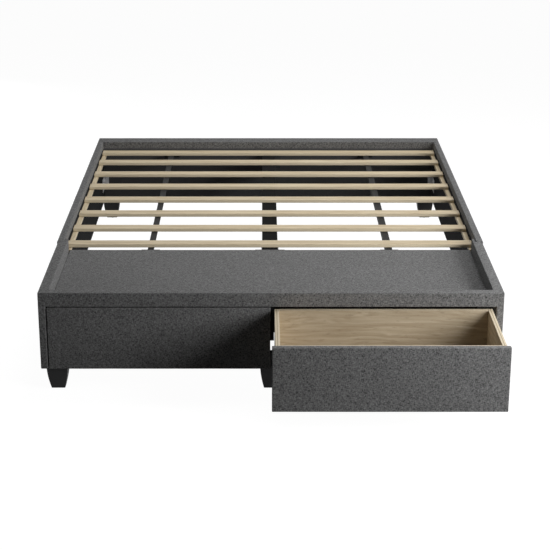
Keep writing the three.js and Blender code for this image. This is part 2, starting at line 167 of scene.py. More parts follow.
def at_shares(low, high, shares):
    """Places between low and high, each at a share of the way."""
    return [low + share * (high - low) for share in shares]


def nodes_with(*words):
    """The frame's nodes that have one of these words in their names."""
    return [name for name in sorted(frame["nodes"]) if any(word in name for word in words)]


# ---- Meshes ----

def pairs(values):
    return list(zip(values, values[1:]))


def add_box(bm, low, high):
    """A box between two corners, added to bm."""
    low, high = Vector(low), Vector(high)
    scale = Matrix.Diagonal((*(high - low), 1))
    bmesh.ops.create_cube(bm, size=1, matrix=Matrix.Translation((low + high) / 2) @ scale)


def towards(direction):
    """The turn that takes +Z to a direction."""
    return Vector((0, 0, 1)).rotation_difference(Vector(direction)).to_matrix().to_4x4()


def round_edges(bm, edges, radius, steps):
    bmesh.ops.bevel(bm, geom=edges, offset=radius, offset_type="OFFSET", segments=steps, profile=0.5,
                    affect="EDGES", clamp_overlap=True, material=-1)


def cut_across(bm, point, normal, **settings):
    """Cuts all of a mesh by a plane."""
    geometry = bm.verts[:] + bm.edges[:] + bm.faces[:]
    bmesh.ops.bisect_plane(bm, geom=geometry, plane_co=point, plane_no=normal, **settings)


def slice_grid(bm, spacing):
    """Cuts a mesh by even planes along X, Y and Z, so that its faces can ease in and out."""
    corners = [vertex.co for vertex in bm.verts]
    for axis in range(3):
        low = min(corner[axis] for corner in corners)
        high = max(corner[axis] for corner in corners)
        count = max(1, round((high - low) / spacing))
        normal = Vector([float(index == axis) for index in range(3)])
        for step in range(1, count):
            cut_across(bm, normal * (low + (high - low) * step / count), normal, dist=0.2 * MM)


def ease_in(bm, depth, size, seed):
    """Lets a stuffed face dip inwards by up to depth, in soft places about size across."""
    bm.normal_update()
    drift = Vector((seed * 3.1, seed * 1.7, seed * 2.3))
    for vertex in bm.verts:
        share = 0.5 + 0.5 * noise.noise(vertex.co / size + drift)
        vertex.co -= vertex.normal * depth * min(max(share, 0), 1)


def filled_cells(planes, filled):
    """One closed shell round the filled cells between planes across X, Y and Z."""
    bm = bmesh.new()
    for x0, x1 in pairs(planes[0]):
        for y0, y1 in pairs(planes[1]):
            for z0, z1 in pairs(planes[2]):
                if filled(Vector(((x0 + x1) / 2, (y0 + y1) / 2, (z0 + z1) / 2))):
                    add_box(bm, (x0, y0, z0), (x1, y1, z1))
    bmesh.ops.remove_doubles(bm, verts=bm.verts[:], dist=0.01 * MM)
    bm.normal_update()
    inner = []
    for face in bm.faces:
        centre = face.calc_center_median()
        step = face.normal * MM
        if filled(centre + step) and filled(centre - step):
            inner.append(face)
    bmesh.ops.delete(bm, geom=inner, context="FACES_ONLY")
    bmesh.ops.recalc_face_normals(bm, faces=bm.faces[:])
    bmesh.ops.dissolve_limit(bm, angle_limit=math.radians(1), verts=bm.verts[:], edges=bm.edges[:])
    return bm


def cloth_uv(bm, seed):
    """A UV map in metres for the weave: each face is laid flat along the axis that it faces.
    The seed moves it, so that no two panels show the same yarns."""
    layer = bm.loops.layers.uv.new("cloth")
    bm.normal_update()
    for face in bm.faces:
        axis = max(range(3), key=lambda index: abs(face.normal[index]))
        across, up = ((1, 2), (0, 2), (0, 1))[axis]
        for loop in face.loops:
            place = loop.vert.co
            loop[layer].uv = (place[across] + 0.37 * seed, place[up] + 0.23 * seed)


def piece(name, bm, material, body, sharp=35):
    """Makes an object of a bmesh, shaded smooth up to an angle, and lets it ride on a body."""
    mesh = bpy.data.meshes.new(name)
    for face in bm.faces:
        face.smooth = True
    bm.to_mesh(mesh)
    bm.free()
    mesh.set_sharp_from_angle(angle=math.radians(sharp))
    mesh.materials.append(material)
    made = bpy.data.objects.new(name, mesh)
    bpy.context.scene.collection.objects.link(made)
    weighted = made.modifiers.new("Even shading", "WEIGHTED_NORMAL")
    weighted.keep_sharp = True
    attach(made, body)
    return made


# ---- Shader helpers ----

def feed(tree, socket, value):
    """Gives a socket its value: a number, a vector, an RGB colour, or a socket to link from."""
    if isinstance(value, bpy.types.NodeSocket):
        tree.links.new(value, socket)
    elif socket.type == "RGBA":
        socket.default_value = (*value, 1)
    else:
        socket.default_value = value


def add_node(tree, kind, inputs=None, **settings):
    """Adds a node with its settings, and feeds its inputs, which go by their names or numbers."""
    made = tree.nodes.new(kind)
    for name, value in settings.items():
        setattr(made, name, value)
    for name, value in (inputs or {}).items():
        feed(tree, made.inputs[name], value)
    return made


def maths(tree, operation, *values):
    return add_node(tree, "ShaderNodeMath", dict(enumerate(values)), operation=operation).outputs[0]


def scaled(tree, vector, scale):
    made = add_node(tree, "ShaderNodeVectorMath", {0: vector, 1: scale}, operation="MULTIPLY")
    return made.outputs[0]


def joined(tree, *parts):
    """A vector of its X, Y and Z."""
    return add_node(tree, "ShaderNodeCombineXYZ", dict(enumerate(parts))).outputs[0]


def parted(tree, vector):
    """A vector's X, Y and Z."""
    return add_node(tree, "ShaderNodeSeparateXYZ", {0: vector}).outputs


def noise_of(tree, vector, detail=2.0, roughness=0.5):
    inputs = {"Vector": vector, "Scale": 1.0, "Detail": detail, "Roughness": roughness}
    return add_node(tree, "ShaderNodeTexNoise", inputs).outputs[0]


def mixed(tree, share, first, second):
    """A colour between two, each an RGB tuple or a socket."""
    made = add_node(tree, "ShaderNodeMix", data_type="RGBA")
    shown = [socket for socket in made.inputs if socket.enabled]
    for socket, value in zip(shown, (share, first, second)):
        feed(tree, socket, value)
    return next(socket for socket in made.outputs if socket.enabled)


def spread(tree, value, low, high, to_low=0.0, to_high=1.0):
    """Maps the range from low to high onto another, and keeps the result within it."""
    inputs = {"Value": value, "From Min": low, "From Max": high, "To Min": to_low, "To Max": to_high}
    return add_node(tree, "ShaderNodeMapRange", inputs).outputs[0]


def shader_group(name, inputs, outputs):
    """An empty node group: inputs are (name, socket type, default), outputs (name, socket type)."""
    group = bpy.data.node_groups.new(name, "ShaderNodeTree")
    for label, kind, default in inputs:
        socket = group.interface.new_socket(label, in_out="INPUT", socket_type=kind)
        if default is not None:
            socket.default_value = default
    for label, kind in outputs:
        group.interface.new_socket(label, in_out="OUTPUT", socket_type=kind)
    start = group.nodes.new("NodeGroupInput").outputs
    end = group.nodes.new("NodeGroupOutput").inputs
    return group, start, end


def grouped(tree, group, inputs):
    """Places a group in a material, and gives its outputs."""
    return add_node(tree, "ShaderNodeGroup", inputs, node_tree=group).outputs


def new_material(name):
    """A material with its Principled shader: (material, node tree, shader)."""
    made = bpy.data.materials.new(name)
    made.use_nodes = True
    return made, made.node_tree, made.node_tree.nodes["Principled BSDF"]


def set_shader(tree, shader, **values):
    """Feeds a shader's inputs, whose names have _ here in place of their spaces."""
    for name, value in values.items():
        feed(tree, shader.inputs[name.replace("_", " ")], value)


def bump_of(tree, height, strength, distance):
    inputs = {"Height": height, "Strength": strength, "Distance": distance}
    return add_node(tree, "ShaderNodeBump", inputs).outputs[0]


def object_place(tree):
    return add_node(tree, "ShaderNodeTexCoord").outputs["Object"]


def along_grain(tree, axis):
    """Object coordinates with their X along the grain, which lies along axis: 0 for X, 1 for Y."""
    place = object_place(tree)
    if axis == 0:
        return place
    quarter_turn = (0, 0, math.pi / 2)
    return add_node(tree, "ShaderNodeMapping", {"Vector": place, "Rotation": quarter_turn}).outputs[0]


def facing(tree, axis):
    """How much a face points along an axis, whichever way round."""
    normal = add_node(tree, "ShaderNodeNewGeometry").outputs["True Normal"]
    return maths(tree, "ABSOLUTE", parted(tree, normal)[axis])


def toned(colour, factor):
    return tuple(value * factor for value in colour)


# ---- Groups ----

FLOAT, VECTOR = "NodeSocketFloat", "NodeSocketVector"


def linen_group():
    """A plain weave of thick and thin two-tone yarns, over a map in metres."""
    group, start, end = shader_group(
        "Linen weave",
        [("Vector", VECTOR, None), ("Pitch", FLOAT, YARN_PITCH), ("Slub length", FLOAT, SLUB_LENGTH),
         ("Fleck", FLOAT, 1.0), ("Contrast", FLOAT, 1.0)],
        [("Tone", FLOAT), ("Height", FLOAT)])
    parts = parted(group, start["Vector"])
    yarns = []
    waves = []
    for across, along in ((0, 1), (1, 0)):
        turn = maths(group, "DIVIDE", parts[across], start["Pitch"])
        lane = maths(group, "MULTIPLY", maths(group, "FLOOR", turn), 5.37)
        run = maths(group, "DIVIDE", parts[along], start["Slub length"])
        yarns.append(noise_of(group, joined(group, lane, run, across * 9.0), detail=1.0, roughness=0.6))
        waves.append(maths(group, "SINE", maths(group, "MULTIPLY", turn, math.pi)))
    crossing = maths(group, "MULTIPLY", *waves)
    over = spread(group, crossing, -0.15, 0.15, 0.32, 0.68)
    warp = maths(group, "MULTIPLY", yarns[0], over)
    weft = maths(group, "MULTIPLY", yarns[1], maths(group, "SUBTRACT", 1.0, over))
    yarn_tone = maths(group, "ADD", warp, weft)
    flecks = [noise_of(group, scaled(group, start["Vector"], scale), detail=2.0, roughness=0.6)
              for scale in ((90, 700, 1), (700, 90, 1))]
    mottle = maths(group, "ADD", *flecks)
    tone = maths(group, "ADD", yarn_tone, maths(group, "MULTIPLY", mottle, start["Fleck"]))
    middle = maths(group, "ADD", 0.5, start["Fleck"])
    wide = maths(group, "MULTIPLY", maths(group, "SUBTRACT", tone, middle), start["Contrast"])
    group.links.new(maths(group, "ADD", wide, 0.5), end["Tone"])
    raised = maths(group, "MULTIPLY", maths(group, "ABSOLUTE", crossing), 0.6)
    relief = maths(group, "ADD", raised, maths(group, "MULTIPLY", yarn_tone, 0.8))
    group.links.new(relief, end["Height"])
    return group


def grain_group():
    """Straight-grained wood, with X along the grain, in metres: streaks, rings, pores and marks."""
    group, start, end = shader_group(
        "Wood grain",
        [("Vector", VECTOR, None), ("Streak", FLOAT, 10 * MM), ("Ring", FLOAT, 22 * MM),
         ("Wander", FLOAT, 1.0)],
        [("Streaks", FLOAT), ("Rings", FLOAT), ("Pores", FLOAT), ("Marks", FLOAT)])
    parts = parted(group, start["Vector"])
    bend = noise_of(group, scaled(group, start["Vector"], (2.2, 9, 9)), detail=2.0)
    swing = maths(group, "MULTIPLY", maths(group, "SUBTRACT", bend, 0.5), start["Wander"])
    shift = maths(group, "MULTIPLY", swing, 0.05)
    moved = [maths(group, "ADD", parts[axis], shift) for axis in (1, 2)]

    def stretched(along, size):
        """Coordinates for a pattern: so many spots to a metre of grain, each of a size across it."""
        run = maths(group, "MULTIPLY", parts[0], along)
        return joined(group, run, *[maths(group, "DIVIDE", value, size) for value in moved])

    streaks = noise_of(group, stretched(3.0, start["Streak"]), detail=4.0, roughness=0.6)
    group.links.new(streaks, end["Streaks"])
    rings = noise_of(group, stretched(1.2, start["Ring"]), detail=1.0)
    wave = maths(group, "SINE", maths(group, "MULTIPLY", rings, 46.0))
    group.links.new(maths(group, "ADD", maths(group, "MULTIPLY", wave, 0.5), 0.5), end["Rings"])
    pores = noise_of(group, stretched(55.0, 0.9 * MM), detail=2.0)
    group.links.new(spread(group, pores, 0.6, 0.78), end["Pores"])
    marks = noise_of(group, stretched(26.0, 7 * MM), detail=3.0, roughness=0.6)
    group.links.new(spread(group, marks, 0.58, 0.70), end["Marks"])
    return group


def speckle_group():
    """Fine and broad unevenness for paint, cloth and steel, in about so many spots to a metre."""
    group, start, end = shader_group(
        "Speckle",
        [("Vector", VECTOR, None), ("Fine", FLOAT, 900.0), ("Broad", FLOAT, 14.0)],
        [("Fine", FLOAT), ("Broad", FLOAT)])
    for label, detail in (("Fine", 2.0), ("Broad", 3.0)):
        inputs = {0: start["Vector"], "Scale": start[label]}
        place = add_node(group, "ShaderNodeVectorMath", inputs, operation="SCALE").outputs[0]
        group.links.new(noise_of(group, place, detail=detail), end[label])
    return group


LINEN = linen_group()
GRAIN = grain_group()
SPECKLE = speckle_group()


# ---- Finishes ----

DARK_YARN = (0.03, 0.03, 0.03)
LIGHT_YARN = (0.274, 0.274, 0.274)
FADED_CLOTH = (0.11, 0.11, 0.11)

EARLY_WOOD = (0.80, 0.68, 0.475)
LATE_WOOD = (0.55, 0.43, 0.265)
# painted light: the lighter colour that the upright faces of solid wood are mixed towards
SIDE_PAINTED_LIGHT = (0.84, 0.72, 0.52)

PALE_VENEER = (0.535, 0.455, 0.335)
TAN_VENEER = (0.36, 0.285, 0.19)
VENEER_FIGURE = (                   # output of the grain, its share and its colour
    ("Rings", 0.28, (0.31, 0.245, 0.155)),
    ("Pores", 0.3, (0.20, 0.145, 0.085)),
    ("Marks", 0.42, (0.17, 0.12, 0.07)),
)
PALE_PLY = (0.72, 0.63, 0.47)
CORE_PLY = (0.40, 0.315, 0.205)
GLUE_LINE = (0.37, 0.285, 0.18)


def upholstery_cloth():
    made, tree, shader = new_material("Grey linen upholstery")
    place = add_node(tree, "ShaderNodeUVMap", uv_map="cloth").outputs[0]
    weave = grouped(tree, LINEN, {"Vector": place, "Fleck": 0.04, "Contrast": 3.1})
    yarn = mixed(tree, spread(tree, weave["Tone"], 0.0, 1.0), DARK_YARN, LIGHT_YARN)
    broad = noise_of(tree, scaled(tree, object_place(tree), (5, 5, 5)), detail=2.0)
    colour = mixed(tree, spread(tree, broad, 0.3, 0.7, 0.0, 0.12), yarn, FADED_CLOTH)
    set_shader(tree, shader, Base_Color=colour, Roughness=0.95, Specular_IOR_Level=0.15,
               Sheen_Weight=0.12, Sheen_Roughness=0.6,
               Normal=bump_of(tree, weave["Height"], 0.7, 0.35 * MM))
    return made


def lining_cloth(name, dark, light):
    made, tree, shader = new_material(name)
    speckle = grouped(tree, SPECKLE, {"Vector": object_place(tree), "Fine": 1400.0, "Broad": 9.0})
    colour = mixed(tree, spread(tree, speckle["Fine"], 0.35, 0.65), dark, light)
    set_shader(tree, shader, Base_Color=colour, Roughness=0.9, Specular_IOR_Level=0.05,
               Normal=bump_of(tree, speckle["Fine"], 0.4, 0.2 * MM))
    return made


def wood(name, axis):
    """Solid wood with its grain along axis, 0 for X or 1 for Y. Its upright faces are painted lighter,
    as painted light, and its arrises darker, as painted shade."""
    made, tree, shader = new_material(name)
    grain = grouped(tree, GRAIN, {"Vector": along_grain(tree, axis)})
    streaks = mixed(tree, spread(tree, grain["Streaks"], 0.4, 0.62), EARLY_WOOD, LATE_WOOD)
    ringed = mixed(tree, maths(tree, "MULTIPLY", grain["Rings"], 0.35), streaks, toned(LATE_WOOD, 0.78))
    pored = mixed(tree, maths(tree, "MULTIPLY", grain["Pores"], 0.35), ringed, toned(LATE_WOOD, 0.55))
    broad = noise_of(tree, scaled(tree, object_place(tree), (1.4, 4.3, 4.3)), detail=1.0)
    face = mixed(tree, spread(tree, broad, 0.3, 0.7, 0.0, 0.35), pored, toned(EARLY_WOOD, 0.86))
    along_x, along_y, along_z = [facing(tree, index) for index in range(3)]
    upright = maths(tree, "MAXIMUM", along_x, along_y)
    # Painted light: upright faces are mixed towards a lighter colour.
    painted_light_side = mixed(tree, 0.75, face, SIDE_PAINTED_LIGHT)
    with_painted_light = mixed(tree, maths(tree, "GREATER_THAN", upright, 0.9), face, painted_light_side)
    # Painted shade: arrises, the faces that point along no axis, are darkened.
    square = maths(tree, "GREATER_THAN", maths(tree, "MAXIMUM", upright, along_z), 0.9)
    colour = mixed(tree, square, toned(LATE_WOOD, 0.62), with_painted_light)
    set_shader(tree, shader, Base_Color=colour, Roughness=0.6,
               Normal=bump_of(tree, grain["Streaks"], 0.25, 0.25 * MM))
    return made


def plywood(name, board, through, along, tone):
    """Plywood for a board: veneer with its grain along one axis, and plies on the board's edges,
    counted through another."""
    made, tree, shader = new_material(name)
    inputs = {"Vector": along_grain(tree, along), "Ring": 38 * MM, "Wander": 1.8}
    grain = grouped(tree, GRAIN, inputs)
    streaks = spread(tree, grain["Streaks"], 0.32, 0.68)
    # A tone above 1 is painted light: it brightens the veneer of the drawers' walls.
    veneer = mixed(tree, streaks, toned(PALE_VENEER, tone), toned(TAN_VENEER, tone))
    for figure, share, shade in VENEER_FIGURE:
        veneer = mixed(tree, maths(tree, "MULTIPLY", grain[figure], share), veneer, shade)
    low, high = box(board)
    thickness = high[through] - low[through]
    plies = 3 if thickness < THIN_BOARD else 5
    depth = maths(tree, "SUBTRACT", parted(tree, object_place(tree))[through], low[through])
    turn = maths(tree, "DIVIDE", depth, thickness / plies)
    core = maths(tree, "COMPARE", maths(tree, "FLOOR", turn), (plies - 1) / 2, 0.5)
    from_glue = maths(tree, "ABSOLUTE", maths(tree, "SUBTRACT", turn, maths(tree, "ROUND", turn)))
    within_ply = maths(tree, "GREATER_THAN", from_glue, 0.06)
    edge = mixed(tree, within_ply, GLUE_LINE, mixed(tree, core, PALE_PLY, CORE_PLY))
    flat = maths(tree, "GREATER_THAN", facing(tree, through), 0.7)
    set_shader(tree, shader, Base_Color=mixed(tree, flat, edge, veneer), Roughness=0.62,
               Normal=bump_of(tree, grain["Streaks"], 0.2, 0.2 * MM))
    return made


def painted(name, colour, roughness, bump=0.15, shine=0.5):
    """Paint, stain or plain plastic, slightly paler and rougher in broad places."""
    made, tree, shader = new_material(name)
    speckle = grouped(tree, SPECKLE, {"Vector": object_place(tree)})
    worn = mixed(tree, spread(tree, speckle["Broad"], 0.3, 0.75), colour, toned(colour, 1.35))
    uneven = spread(tree, speckle["Broad"], 0.3, 0.7, roughness - 0.06, roughness + 0.08)
    set_shader(tree, shader, Base_Color=worn, Roughness=uneven, Specular_IOR_Level=shine,
               Normal=bump_of(tree, speckle["Fine"], bump, 0.2 * MM))
    return made


def steel(name, colour, roughness, metallic):
    made, tree, shader = new_material(name)
    speckle = grouped(tree, SPECKLE, {"Vector": object_place(tree), "Fine": 1200.0, "Broad": 30.0})
    shade = mixed(tree, spread(tree, speckle["Broad"], 0.3, 0.7), colour, toned(colour, 0.8))
    uneven = spread(tree, speckle["Broad"], 0.3, 0.7, roughness - 0.07, roughness + 0.1)
    set_shader(tree, shader, Base_Color=shade, Metallic=metallic, Roughness=uneven,
               Normal=bump_of(tree, speckle["Fine"], 0.08, 0.1 * MM))
    return made


CLOTH = upholstery_cloth()
LINING = lining_cloth("Black lining cloth", (0.008, 0.008, 0.0083), (0.018, 0.018, 0.0186))
# Painted light: the head's lining is painted lighter than the side lining, standing in for light on the
# head rail's inner face.
HEAD_LINING_PAINTED_LIGHT = lining_cloth("Lining cloth painted lighter", (0.08, 0.08, 0.081), (0.12, 0.12, 0.122))
SLAT_WOOD = wood("Slat wood along X", 0)
LEDGER_WOOD = wood("Slat wood along Y", 1)
BLACK_WOOD = painted("Black stained wood", (0.0225, 0.0225, 0.023), 0.62, shine=0.2)
BEAM_PAINT = painted("Matt black paint", (0.0095, 0.0095, 0.0096), 0.85, shine=0.03)
BLACK_BOARD = painted("Black board", (0.012, 0.012, 0.0125), 0.8, shine=0.15)
GREY_STEEL = painted("Grey painted steel", (0.0155, 0.0155, 0.0158), 0.6, bump=0.05, shine=0.1)
# Painted light: the hangers' black steel is painted lighter than the bars', standing in for light on
# their shaded upright wings.
HANGER_STEEL_PAINTED_LIGHT = painted("Steel painted lighter", (0.07, 0.07, 0.072), 0.6, bump=0.05, shine=0.1)
BRACKET_STEEL = steel("Galvanised steel", (0.66, 0.66, 0.67), 0.5, 0.15)
ZINC_STEEL = steel("Zinc-plated steel", (0.62, 0.63, 0.64), 0.3, 1.0)
DARK_BOLT = steel("Black bolt steel", (0.03, 0.03, 0.032), 0.35, 0.8)
STAPLE_STEEL = steel("Dull staple wire", (0.08, 0.08, 0.08), 0.5, 0.6)
NYLON = painted("Black nylon", (0.02, 0.02, 0.02), 0.5)


# ---- Upholstery ----

def cover(name, bm, seed, body, *nodes, radius=CLOTH_ROUND):
    """Rounds a cover's outer edges, eases its faces, lays the weave on it and puts it in place."""
    bm.normal_update()
    edges = [edge for edge in bm.edges if edge.is_convex and edge.calc_face_angle(0) > math.radians(30)]
    round_edges(bm, edges, radius, CLOTH_STEPS)
    slice_grid(bm, CLOTH_GRID)
    ease_in(bm, CLOTH_EASE, CLOTH_DIP, seed)
    cloth_uv(bm, seed)
    made = piece(name, bm, CLOTH, body, sharp=50)
    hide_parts(*nodes)


def foot_box_cover():
    """One cover over the front rail and both sides, open where the drawers go in."""
    bottom = box("box_side_left")[0].z
    outer = box("box_side_right")[1].x
    drawer = box("left_drawer_front")
    rail = box("front_rail")
    inner = outer - SIDE_PANEL
    stile = -drawer[0].x + STILE_GAP
    rebate = foot_y + (drawer[1].y - drawer[0].y) + FRONT_STOP
    planes = (
        (-outer, -stile, -inner, inner, stile, outer),
        (foot_y, rebate, rail[1].y, box_end_y),
        (bottom, rail[0].z, rim_z),
    )

    def filled(point):
        if not (abs(point.x) < outer and foot_y < point.y < box_end_y and bottom < point.z < rim_z):
            return False
        if point.y < rail[1].y and point.z > rail[0].z:
            return True
        return abs(point.x) > (stile if point.y < rebate else inner)

    bm = filled_cells(planes, filled)
    cover("foot_box_cover", bm, 1, "frame", "front_rail", "box_side_left", "box_side_right")


def panel_cover(name, node, seed, body="frame", radius=CLOTH_ROUND):
    bm = bmesh.new()
    add_box(bm, *box(node))
    cover(name, bm, seed, body, node, radius=radius)


def deck_cover():
    """The deck's cover. The board's front and sides are housed in the panels round it, so the
    cover stops short of them."""
    low, high = box("deck_panel")
    inset = DECK_HOUSING - SEAT
    bm = bmesh.new()
    add_box(bm, low + Vector((inset, inset, 0)), high - Vector((inset, 0, 0)))
    cover("deck_cover", bm, 2, "frame", "deck_panel", radius=DECK_ROUND)


def side_tongue(name, side):
    """The cloth-covered tongue behind one side of the foot box, inside the side rail's end."""
    low, high = box(f"box_side_{name}")
    face = inner_x(f"side_rail_{name}", side) - side * SEAT
    xs = sorted((face, face - side * TONGUE))
    bm = bmesh.new()
    start = (xs[0], box_end_y - TONGUE_LAP, low.z + TONGUE_RISE)
    end = (xs[1], high.y, rim_z - TONGUE_DROP)
    add_box(bm, start, end)
    round_edges(bm, bm.edges[:], TONGUE_ROUND, 2)
    cloth_uv(bm, 11)
    piece(f"side_tongue_{name}", bm, CLOTH, "frame")


foot_box_cover()
deck_cover()
for index, name in enumerate(SIDES):
    panel_cover(f"side_rail_cover_{name}", f"side_rail_{name}", 4 + index)
    front = f"{name}_drawer_front"
    panel_cover(f"{front}_cover", front, 7 + index, f"{name}_drawer", FRONT_ROUND)
panel_cover("head_rail_cover", "head_rail", 6)
for name, side in SIDES.items():
    side_tongue(name, side)


# ---- Black lining inside the rails, with its staples ----

def staple(bm, centre, along, out, wire=STAPLE_WIRE):
    """A staple's crown: a bar lying along one axis and standing out along another."""
    along, out = Vector(along), Vector(out)
    half = (along * STAPLE_WIDTH + along.cross(out) * wire + out * wire) / 2
    reach = Vector([abs(value) for value in half])
    middle = Vector(centre) + out * wire / 2
    add_box(bm, middle - reach, middle + reach)


def spaced(low, high, pitch):
    """Places about a pitch apart between two ends, each in the middle of its stretch."""
    count = max(2, round((high - low) / pitch))
    return at_shares(low, high, [(index + 0.5) / count for index in range(count)])


def rail_linings():
    """Lining cloth inside the side rails and the head rail, with two rows of staples along each."""
    side_lining = bmesh.new()
    head_lining = bmesh.new()
    staples = bmesh.new()
    top = rim_z - TURNED_IN
    bottom = underside_z + LINER_RISE
    rows = (bottom + LOW_STAPLES, top - HIGH_STAPLES)
    for name, side in SIDES.items():
        face = inner_x(f"side_rail_{name}", side)
        crown = face - side * LINER
        xs = sorted((face + side * CLOTH_EASE, crown))
        start = box(f"box_side_{name}")[1].y + SIDE_LINER_START
        end = box(f"side_rail_{name}")[1].y - SIDE_LINER_END
        add_box(side_lining, (xs[0], start, bottom), (xs[1], end, top))
        for y in spaced(start, end, STAPLE_PITCH):
            for z in rows:
                staple(staples, (crown, y, z), (0, 1, 0), (-side, 0, 0))
    face = box("head_rail")[0].y
    crown = face - LINER
    start = box("side_rail_left")[1].x + HEAD_LINER_END
    end = box("side_rail_right")[0].x - HEAD_LINER_END
    add_box(head_lining, (start, crown, bottom), (end, face + CLOTH_EASE, top))
    for x in spaced(start, end, STAPLE_PITCH):
        for z in rows:
            staple(staples, (x, crown, z), (1, 0, 0), (0, -1, 0))
    for lining in (side_lining, head_lining):
        round_edges(lining, lining.edges[:], LINER_ROUND, 1)
    piece("side_lining", side_lining, LINING, "frame")
    piece("head_lining", head_lining, HEAD_LINING_PAINTED_LIGHT, "frame")
    piece("rail_lining_staples", staples, STAPLE_STEEL, "frame")


rail_linings()


# ---- Kept pieces of the frame: their finishes and worn arrises ----

def finish_node(name, material, arris, steps=2):
    """Gives a kept node its finish, and takes its sharp edges off."""
    node = frame["nodes"][name]
    node.data.materials.clear()
    node.data.materials.append(material)
    weld = node.modifiers.new("Join faces", "WELD")
    weld.merge_threshold = 0.02 * MM
    bevel = node.modifiers.new("Arris", "BEVEL")
    bevel.width = arris
    bevel.segments = steps
    bevel.limit_method = "ANGLE"
    bevel.angle_limit = math.radians(50)
    bevel.use_clamp_overlap = True


for name in nodes_with("slat_"):
    finish_node(name, SLAT_WOOD, arris=1.8 * MM)
for name in nodes_with("ledger_"):
    finish_node(name, LEDGER_WOOD, arris=1 * MM)
for name in nodes_with("box_back", "bay_back", "deck_rib", "front_stretcher", "slide_rail"):
    finish_node(name, BLACK_BOARD, BOARD_ARRIS)
for name in nodes_with("centre_beam", "support_post"):
    finish_node(name, BEAM_PAINT, arris=1.5 * MM)
for word, finish in (("hanger", HANGER_STEEL_PAINTED_LIGHT), ("support_bar", GREY_STEEL), ("bracket", BRACKET_STEEL)):
    for name in nodes_with(word):
        finish_node(name, finish, arris=0.5 * MM)
for name in nodes_with("_slide_"):
    finish_node(name, ZINC_STEEL, arris=0.2 * MM, steps=1)


# ---- Bolts and screws ----

def edges_within(bm, verts):
    return [edge for edge in bm.edges if edge.verts[0] in verts and edge.verts[1] in verts]


def drawn_out(bm, edges, move):
    """Extrudes a ring of edges, and moves the new vertices: (vertices, the ring between them)."""
    grown = bmesh.ops.extrude_edge_only(bm, edges=edges)["geom"]
    verts = [item for item in grown if isinstance(item, bmesh.types.BMVert)]
    for vertex in verts:
        vertex.co = move(vertex.co)
    ring = [item for item in grown if isinstance(item, bmesh.types.BMEdge)
            and item.verts[0] in verts and item.verts[1] in verts]
    return verts, ring


def socket_screw(bm, centre, direction, radius, height, dome):
    """A round head with a six-sided socket, standing out from centre along direction. It is flat
    in the middle, and slopes down to its rim over the dome's share of the radius."""
    place = Matrix.Translation(Vector(centre)) @ towards(direction)
    back = place.inverted()
    top = place @ Matrix.Translation((0, 0, height))
    socket = bmesh.ops.create_circle(bm, cap_ends=False, segments=6, radius=radius * 0.42, matrix=top)
    crown = bmesh.ops.create_circle(bm, cap_ends=False, segments=18, radius=radius * (1 - dome),
                                    matrix=top)
    bmesh.ops.bridge_loops(bm, edges=edges_within(bm, socket["verts"] + crown["verts"]))

    def to_rim(point, level):
        local = back @ point
        flat = Vector((local.x, local.y, 0)).normalized() * radius
        return place @ Vector((flat.x, flat.y, level))

    def to_floor(point):
        local = back @ point
        return place @ Vector((local.x, local.y, height * 0.25))

    edge = edges_within(bm, crown["verts"])
    shoulder = drawn_out(bm, edge, lambda point: to_rim(point, height * 0.55))[1]
    base = drawn_out(bm, shoulder, lambda point: to_rim(point, 0))[0]
    well = drawn_out(bm, edges_within(bm, socket["verts"]), to_floor)[0]
    bmesh.ops.contextual_create(bm, geom=well)
    bmesh.ops.contextual_create(bm, geom=base)


# ---- Drawers ----

DRAWER_BOARDS = {                   # the axis through each board, and the axis along its grain
    "inner_front": (1, 0),
    "back": (1, 0),
    "wall_outer": (0, 1),
    "wall_inner": (0, 1),
    "bottom": (2, 0),
}


def drawer_finish(name):
    for part, (through, along) in DRAWER_BOARDS.items():
        board = f"{name}_drawer_{part}"
        # Painted light: the walls are toned paler than the back.
        tone = WALL_PAINTED_LIGHT if "wall" in part else 1.0
        material = plywood(f"Plywood {name} {part}", board, through, along, tone)
        finish_node(board, material, BOARD_ARRIS)


def front_backing(name):
    """A strip of black cloth stapled along the back of a drawer front, below the drawer's box."""
    front = box(f"{name}_drawer_front")
    wall = box(f"{name}_drawer_wall_outer")
    back = front[1].y
    low = Vector((front[0].x + BACKING_INSET, back - CLOTH_EASE, front[0].z + BACKING_INSET))
    high = Vector((front[1].x - BACKING_INSET, back + BACKING, wall[0].z - BACKING_DROP))
    strip = bmesh.new()
    add_box(strip, low, high)
    piece(f"{name}_front_backing", strip, LINING, f"{name}_drawer")
    staples = bmesh.new()
    for x in spaced(low.x, high.x, STAPLE_PITCH):
        for z in (low.z + BACKING_STAPLES, high.z - BACKING_STAPLES):
            staple(staples, (x, high.y, z), (1, 0, 0), (0, 1, 0), BACKING)
    piece(f"{name}_front_staples", staples, STAPLE_STEEL, f"{name}_drawer")


def front_screws(name):
    """Four screws through the inner front that hold the padded front on."""
    low, high = box(f"{name}_drawer_inner_front")
    screws = bmesh.new()
    for x in at_shares(low.x, high.x, (0.14, 0.86)):
        for z in at_shares(low.z, high.z, (0.25, 0.78)):
            socket_screw(screws, (x, high.y, z), (0, 1, 0), *FRONT_SCREW)
    piece(f"{name}_front_screws", screws, ZINC_STEEL, f"{name}_drawer")


for name in SIDES:
    drawer_finish(name)
    front_backing(name)
    front_screws(name)


# ---- Legs ----

